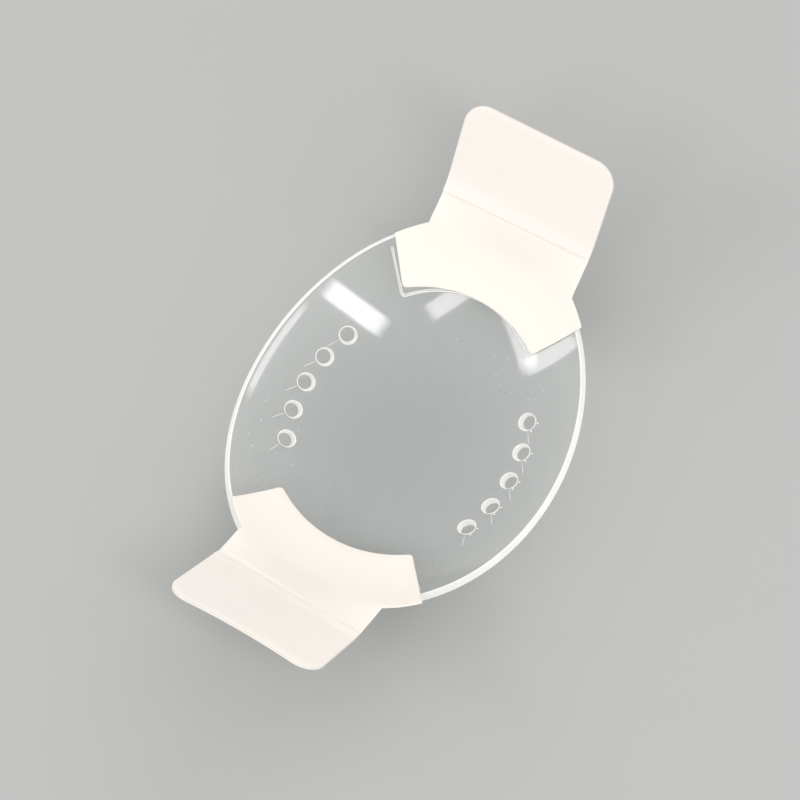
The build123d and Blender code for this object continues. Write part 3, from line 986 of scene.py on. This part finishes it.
# Soft boxes in metres and watts: name, middle, direction of the width, width, height, power, and
# whether the shell mirrors it.
SOFT_BOXES = (
    ("near_right_box", (0.44, -0.243, 0.821), (-0.88, 0.02, 0.48), 0.52, 0.16, 2.6, True),
    ("front_box", (-0.052, -0.551, 0.805), (-0.53, -0.68, -0.50), 0.38, 0.14, 1.1, True),
    ("left_box", (-0.527, -0.454, 0.669), (-0.67, 0.75, -0.02), 0.46, 0.15, 1.3, True),
    ("low_left_box", (-0.709, -0.385, 0.522), (-0.40, -0.39, -0.83), 0.46, 0.13, 1.1, True),
    ("right_strip", (0.632, 0.236, 0.615), (-0.12, 0.96, -0.25), 0.76, 0.045, 0.6, True),
    ("far_fill", (0.15, 0.9, 0.7), (1.0, 0.0, 0.0), 0.9, 0.6, 1.7, False),
    ("left_fill", (-0.95, 0.25, 0.35), (0.0, 1.0, 0.0), 1.0, 0.4, 2.0, False),
    ("right_fill", (0.95, -0.25, 0.35), (0.0, 1.0, 0.0), 1.0, 0.4, 2.0, False),
)


def make_camera(scene):
    """Camera at the photograph's angle, with no shift and no depth of field."""
    back = Vector((sin(AZIMUTH) * cos(ELEVATION), -cos(AZIMUTH) * cos(ELEVATION), sin(ELEVATION)))
    upright = (-back).to_track_quat("-Z", "Y")
    data = bpy.data.cameras.new("camera")
    data.lens, data.sensor_width = LENS, 36.0
    data.clip_start, data.clip_end = 0.05, 20.0
    camera = bpy.data.objects.new("camera", data)
    scene.collection.objects.link(camera)
    turn = Matrix.Rotation(-LEAN, 4, back) @ upright.to_matrix().to_4x4()
    camera.matrix_world = Matrix.Translation(AIM + back * DISTANCE) @ turn
    scene.camera = camera


def soften(data):
    """Soft box cloth: full light in its middle, falling smoothly to nothing over its outer fifths."""
    data.use_nodes = True
    tree = data.node_tree
    place = add_node(tree, "SeparateXYZ", {0: add_node(tree, "NewGeometry").outputs["Parametric"]})
    falls = []
    for way in (0, 1):
        off = add_node(tree, "Math", {0: place.outputs[way], 1: 0.5}, operation="SUBTRACT")
        off = add_node(tree, "Math", {0: off}, operation="ABSOLUTE")
        fall = {"Value": off, "From Min": 0.3, "From Max": 0.5, "To Min": 1.0, "To Max": 0.0}
        falls.append(add_node(tree, "MapRange", fall, interpolation_type="SMOOTHSTEP"))
    both = add_node(tree, "Math", {0: falls[0], 1: falls[1]}, operation="MULTIPLY")
    tree.links.new(both.outputs[0], tree.nodes["Emission"].inputs["Strength"])


def make_stage(scene):
    """Plain pale floor, soft boxes, an even pale surround and the camera."""
    half = 2.5
    mesh = bpy.data.meshes.new("floor")
    corners = [(-half, -half, 0), (half, -half, 0), (half, half, 0), (-half, half, 0)]
    mesh.from_pydata(corners, [], [(0, 1, 2, 3)])
    floor = bpy.data.objects.new("floor", mesh)
    mesh.materials.append(white_sheet(scene, "floor_paper"))
    scene.collection.objects.link(floor)
    for name, middle, width_way, wide, high, power, mirrored in SOFT_BOXES:
        data = bpy.data.lights.new(name, "AREA")
        data.shape, data.size, data.size_y, data.energy = "RECTANGLE", wide, high, power
        lamp = bpy.data.objects.new(name, data)
        back = Vector(middle).normalized()
        across = (Vector(width_way) - back * back.dot(Vector(width_way))).normalized()
        turn = Matrix((across, back.cross(across), back)).transposed().to_4x4()
        lamp.matrix_world = Matrix.Translation(middle) @ turn
        lamp.visible_transmission = False
        lamp.visible_glossy = mirrored
        if mirrored:
            soften(data)
        scene.collection.objects.link(lamp)
    world = bpy.data.worlds.new("surround")
    world.use_nodes = True
    sky = world.node_tree.nodes["Background"]
    sky.inputs["Color"].default_value = linear("#F2F2F0")
    sky.inputs["Strength"].default_value = 1.02
    scene.world = world
    scene.view_settings.view_transform = "Standard"
    make_camera(scene)


# Operators


class SHIELD_OT_stage(bpy.types.Operator):
    """Make the floor, the lights and the camera"""

    bl_idname = "eye_shield.stage"
    bl_label = "Stage"

    def execute(self, context):
        make_stage(context.scene)
        return {"FINISHED"}


class SHIELD_OT_shell(bpy.types.Operator):
    """Make the clear moulded shell"""

    bl_idname = "eye_shield.shell"
    bl_label = "Clear shell"

    def execute(self, context):
        colours = context.scene.eye_shield_colours
        materials = (moulded_polycarbonate(colours), satin_polycarbonate(colours))
        finish_piece(make_shell(context.scene), "shell", "clear_shell", materials, "shield_shell")
        return {"FINISHED"}


class SHIELD_OT_tapes(bpy.types.Operator):
    """Make each tab's tape, in one sheet over its crease"""

    bl_idname = "eye_shield.tapes"
    bl_label = "Tapes"

    def execute(self, context):
        material = white_sheet(context.scene, "polyethylene_tape")
        for t in tabs(context.scene):
            piece = make_tape(t)
            nodes = (f"{t.name}_tape_head", f"{t.name}_tape_flap")
            finish_piece(piece, None, "tape", [material], *nodes)
            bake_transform(piece)
        return {"FINISHED"}


class SHIELD_OT_adhesives(bpy.types.Operator):
    """Make each tab's two coats of adhesive"""

    bl_idname = "eye_shield.adhesives"
    bl_label = "Adhesives"

    def execute(self, context):
        material = white_sheet(context.scene, "acrylic_adhesive")
        for t in tabs(context.scene):
            head, skin = make_head_glue(t), make_skin_glue(t)
            finish_piece(head, "shell", "adhesive", [material], f"{t.name}_head_adhesive")
            finish_piece(skin, f"{t.name}_flap", "adhesive", [material], f"{t.name}_skin_adhesive")
        return {"FINISHED"}


class SHIELD_OT_liners(bpy.types.Operator):
    """Make each tab's release paper"""

    bl_idname = "eye_shield.liners"
    bl_label = "Liners"

    def execute(self, context):
        material = white_sheet(context.scene, "release_paper")
        for t in tabs(context.scene):
            body, node = f"{t.name}_liner", f"{t.name}_release_liner"
            finish_piece(make_liner(t), body, "liner", [material], node)
        return {"FINISHED"}


OPERATORS = (SHIELD_OT_stage, SHIELD_OT_shell, SHIELD_OT_tapes, SHIELD_OT_adhesives, SHIELD_OT_liners)


class SHIELD_PT_panel(bpy.types.Panel):
    """Sidebar panel that lists the pieces"""

    bl_idname = "SHIELD_PT_panel"
    bl_label = "Eye shield"
    bl_space_type = "VIEW_3D"
    bl_region_type = "UI"
    bl_category = "Eye shield"

    def draw(self, context):
        for operator in OPERATORS:
            self.layout.operator(operator.bl_idname)


GROUPS = {
    "eye_shield_sizes": ShieldSizes,
    "eye_shield_colours": ShieldColours,
    "eye_shield_upper": UpperTab,
    "eye_shield_lower": LowerTab,
}


def register():
    """Registers the classes and hangs the property groups on the scene."""
    for item in (*GROUPS.values(), *OPERATORS, SHIELD_PT_panel):
        bpy.utils.register_class(item)
    for key, group in GROUPS.items():
        setattr(bpy.types.Scene, key, PointerProperty(type=group))


def unregister():
    """Undoes register."""
    for key in GROUPS:
        delattr(bpy.types.Scene, key)
    for item in (SHIELD_PT_panel, *reversed(OPERATORS), *GROUPS.values()):
        bpy.utils.unregister_class(item)


def main():
    register()
    bpy.ops.eye_shield.stage()
    bpy.ops.eye_shield.shell()
    bpy.ops.eye_shield.tapes()
    bpy.ops.eye_shield.adhesives()
    bpy.ops.eye_shield.liners()


if __name__ == "__main__":
    main()
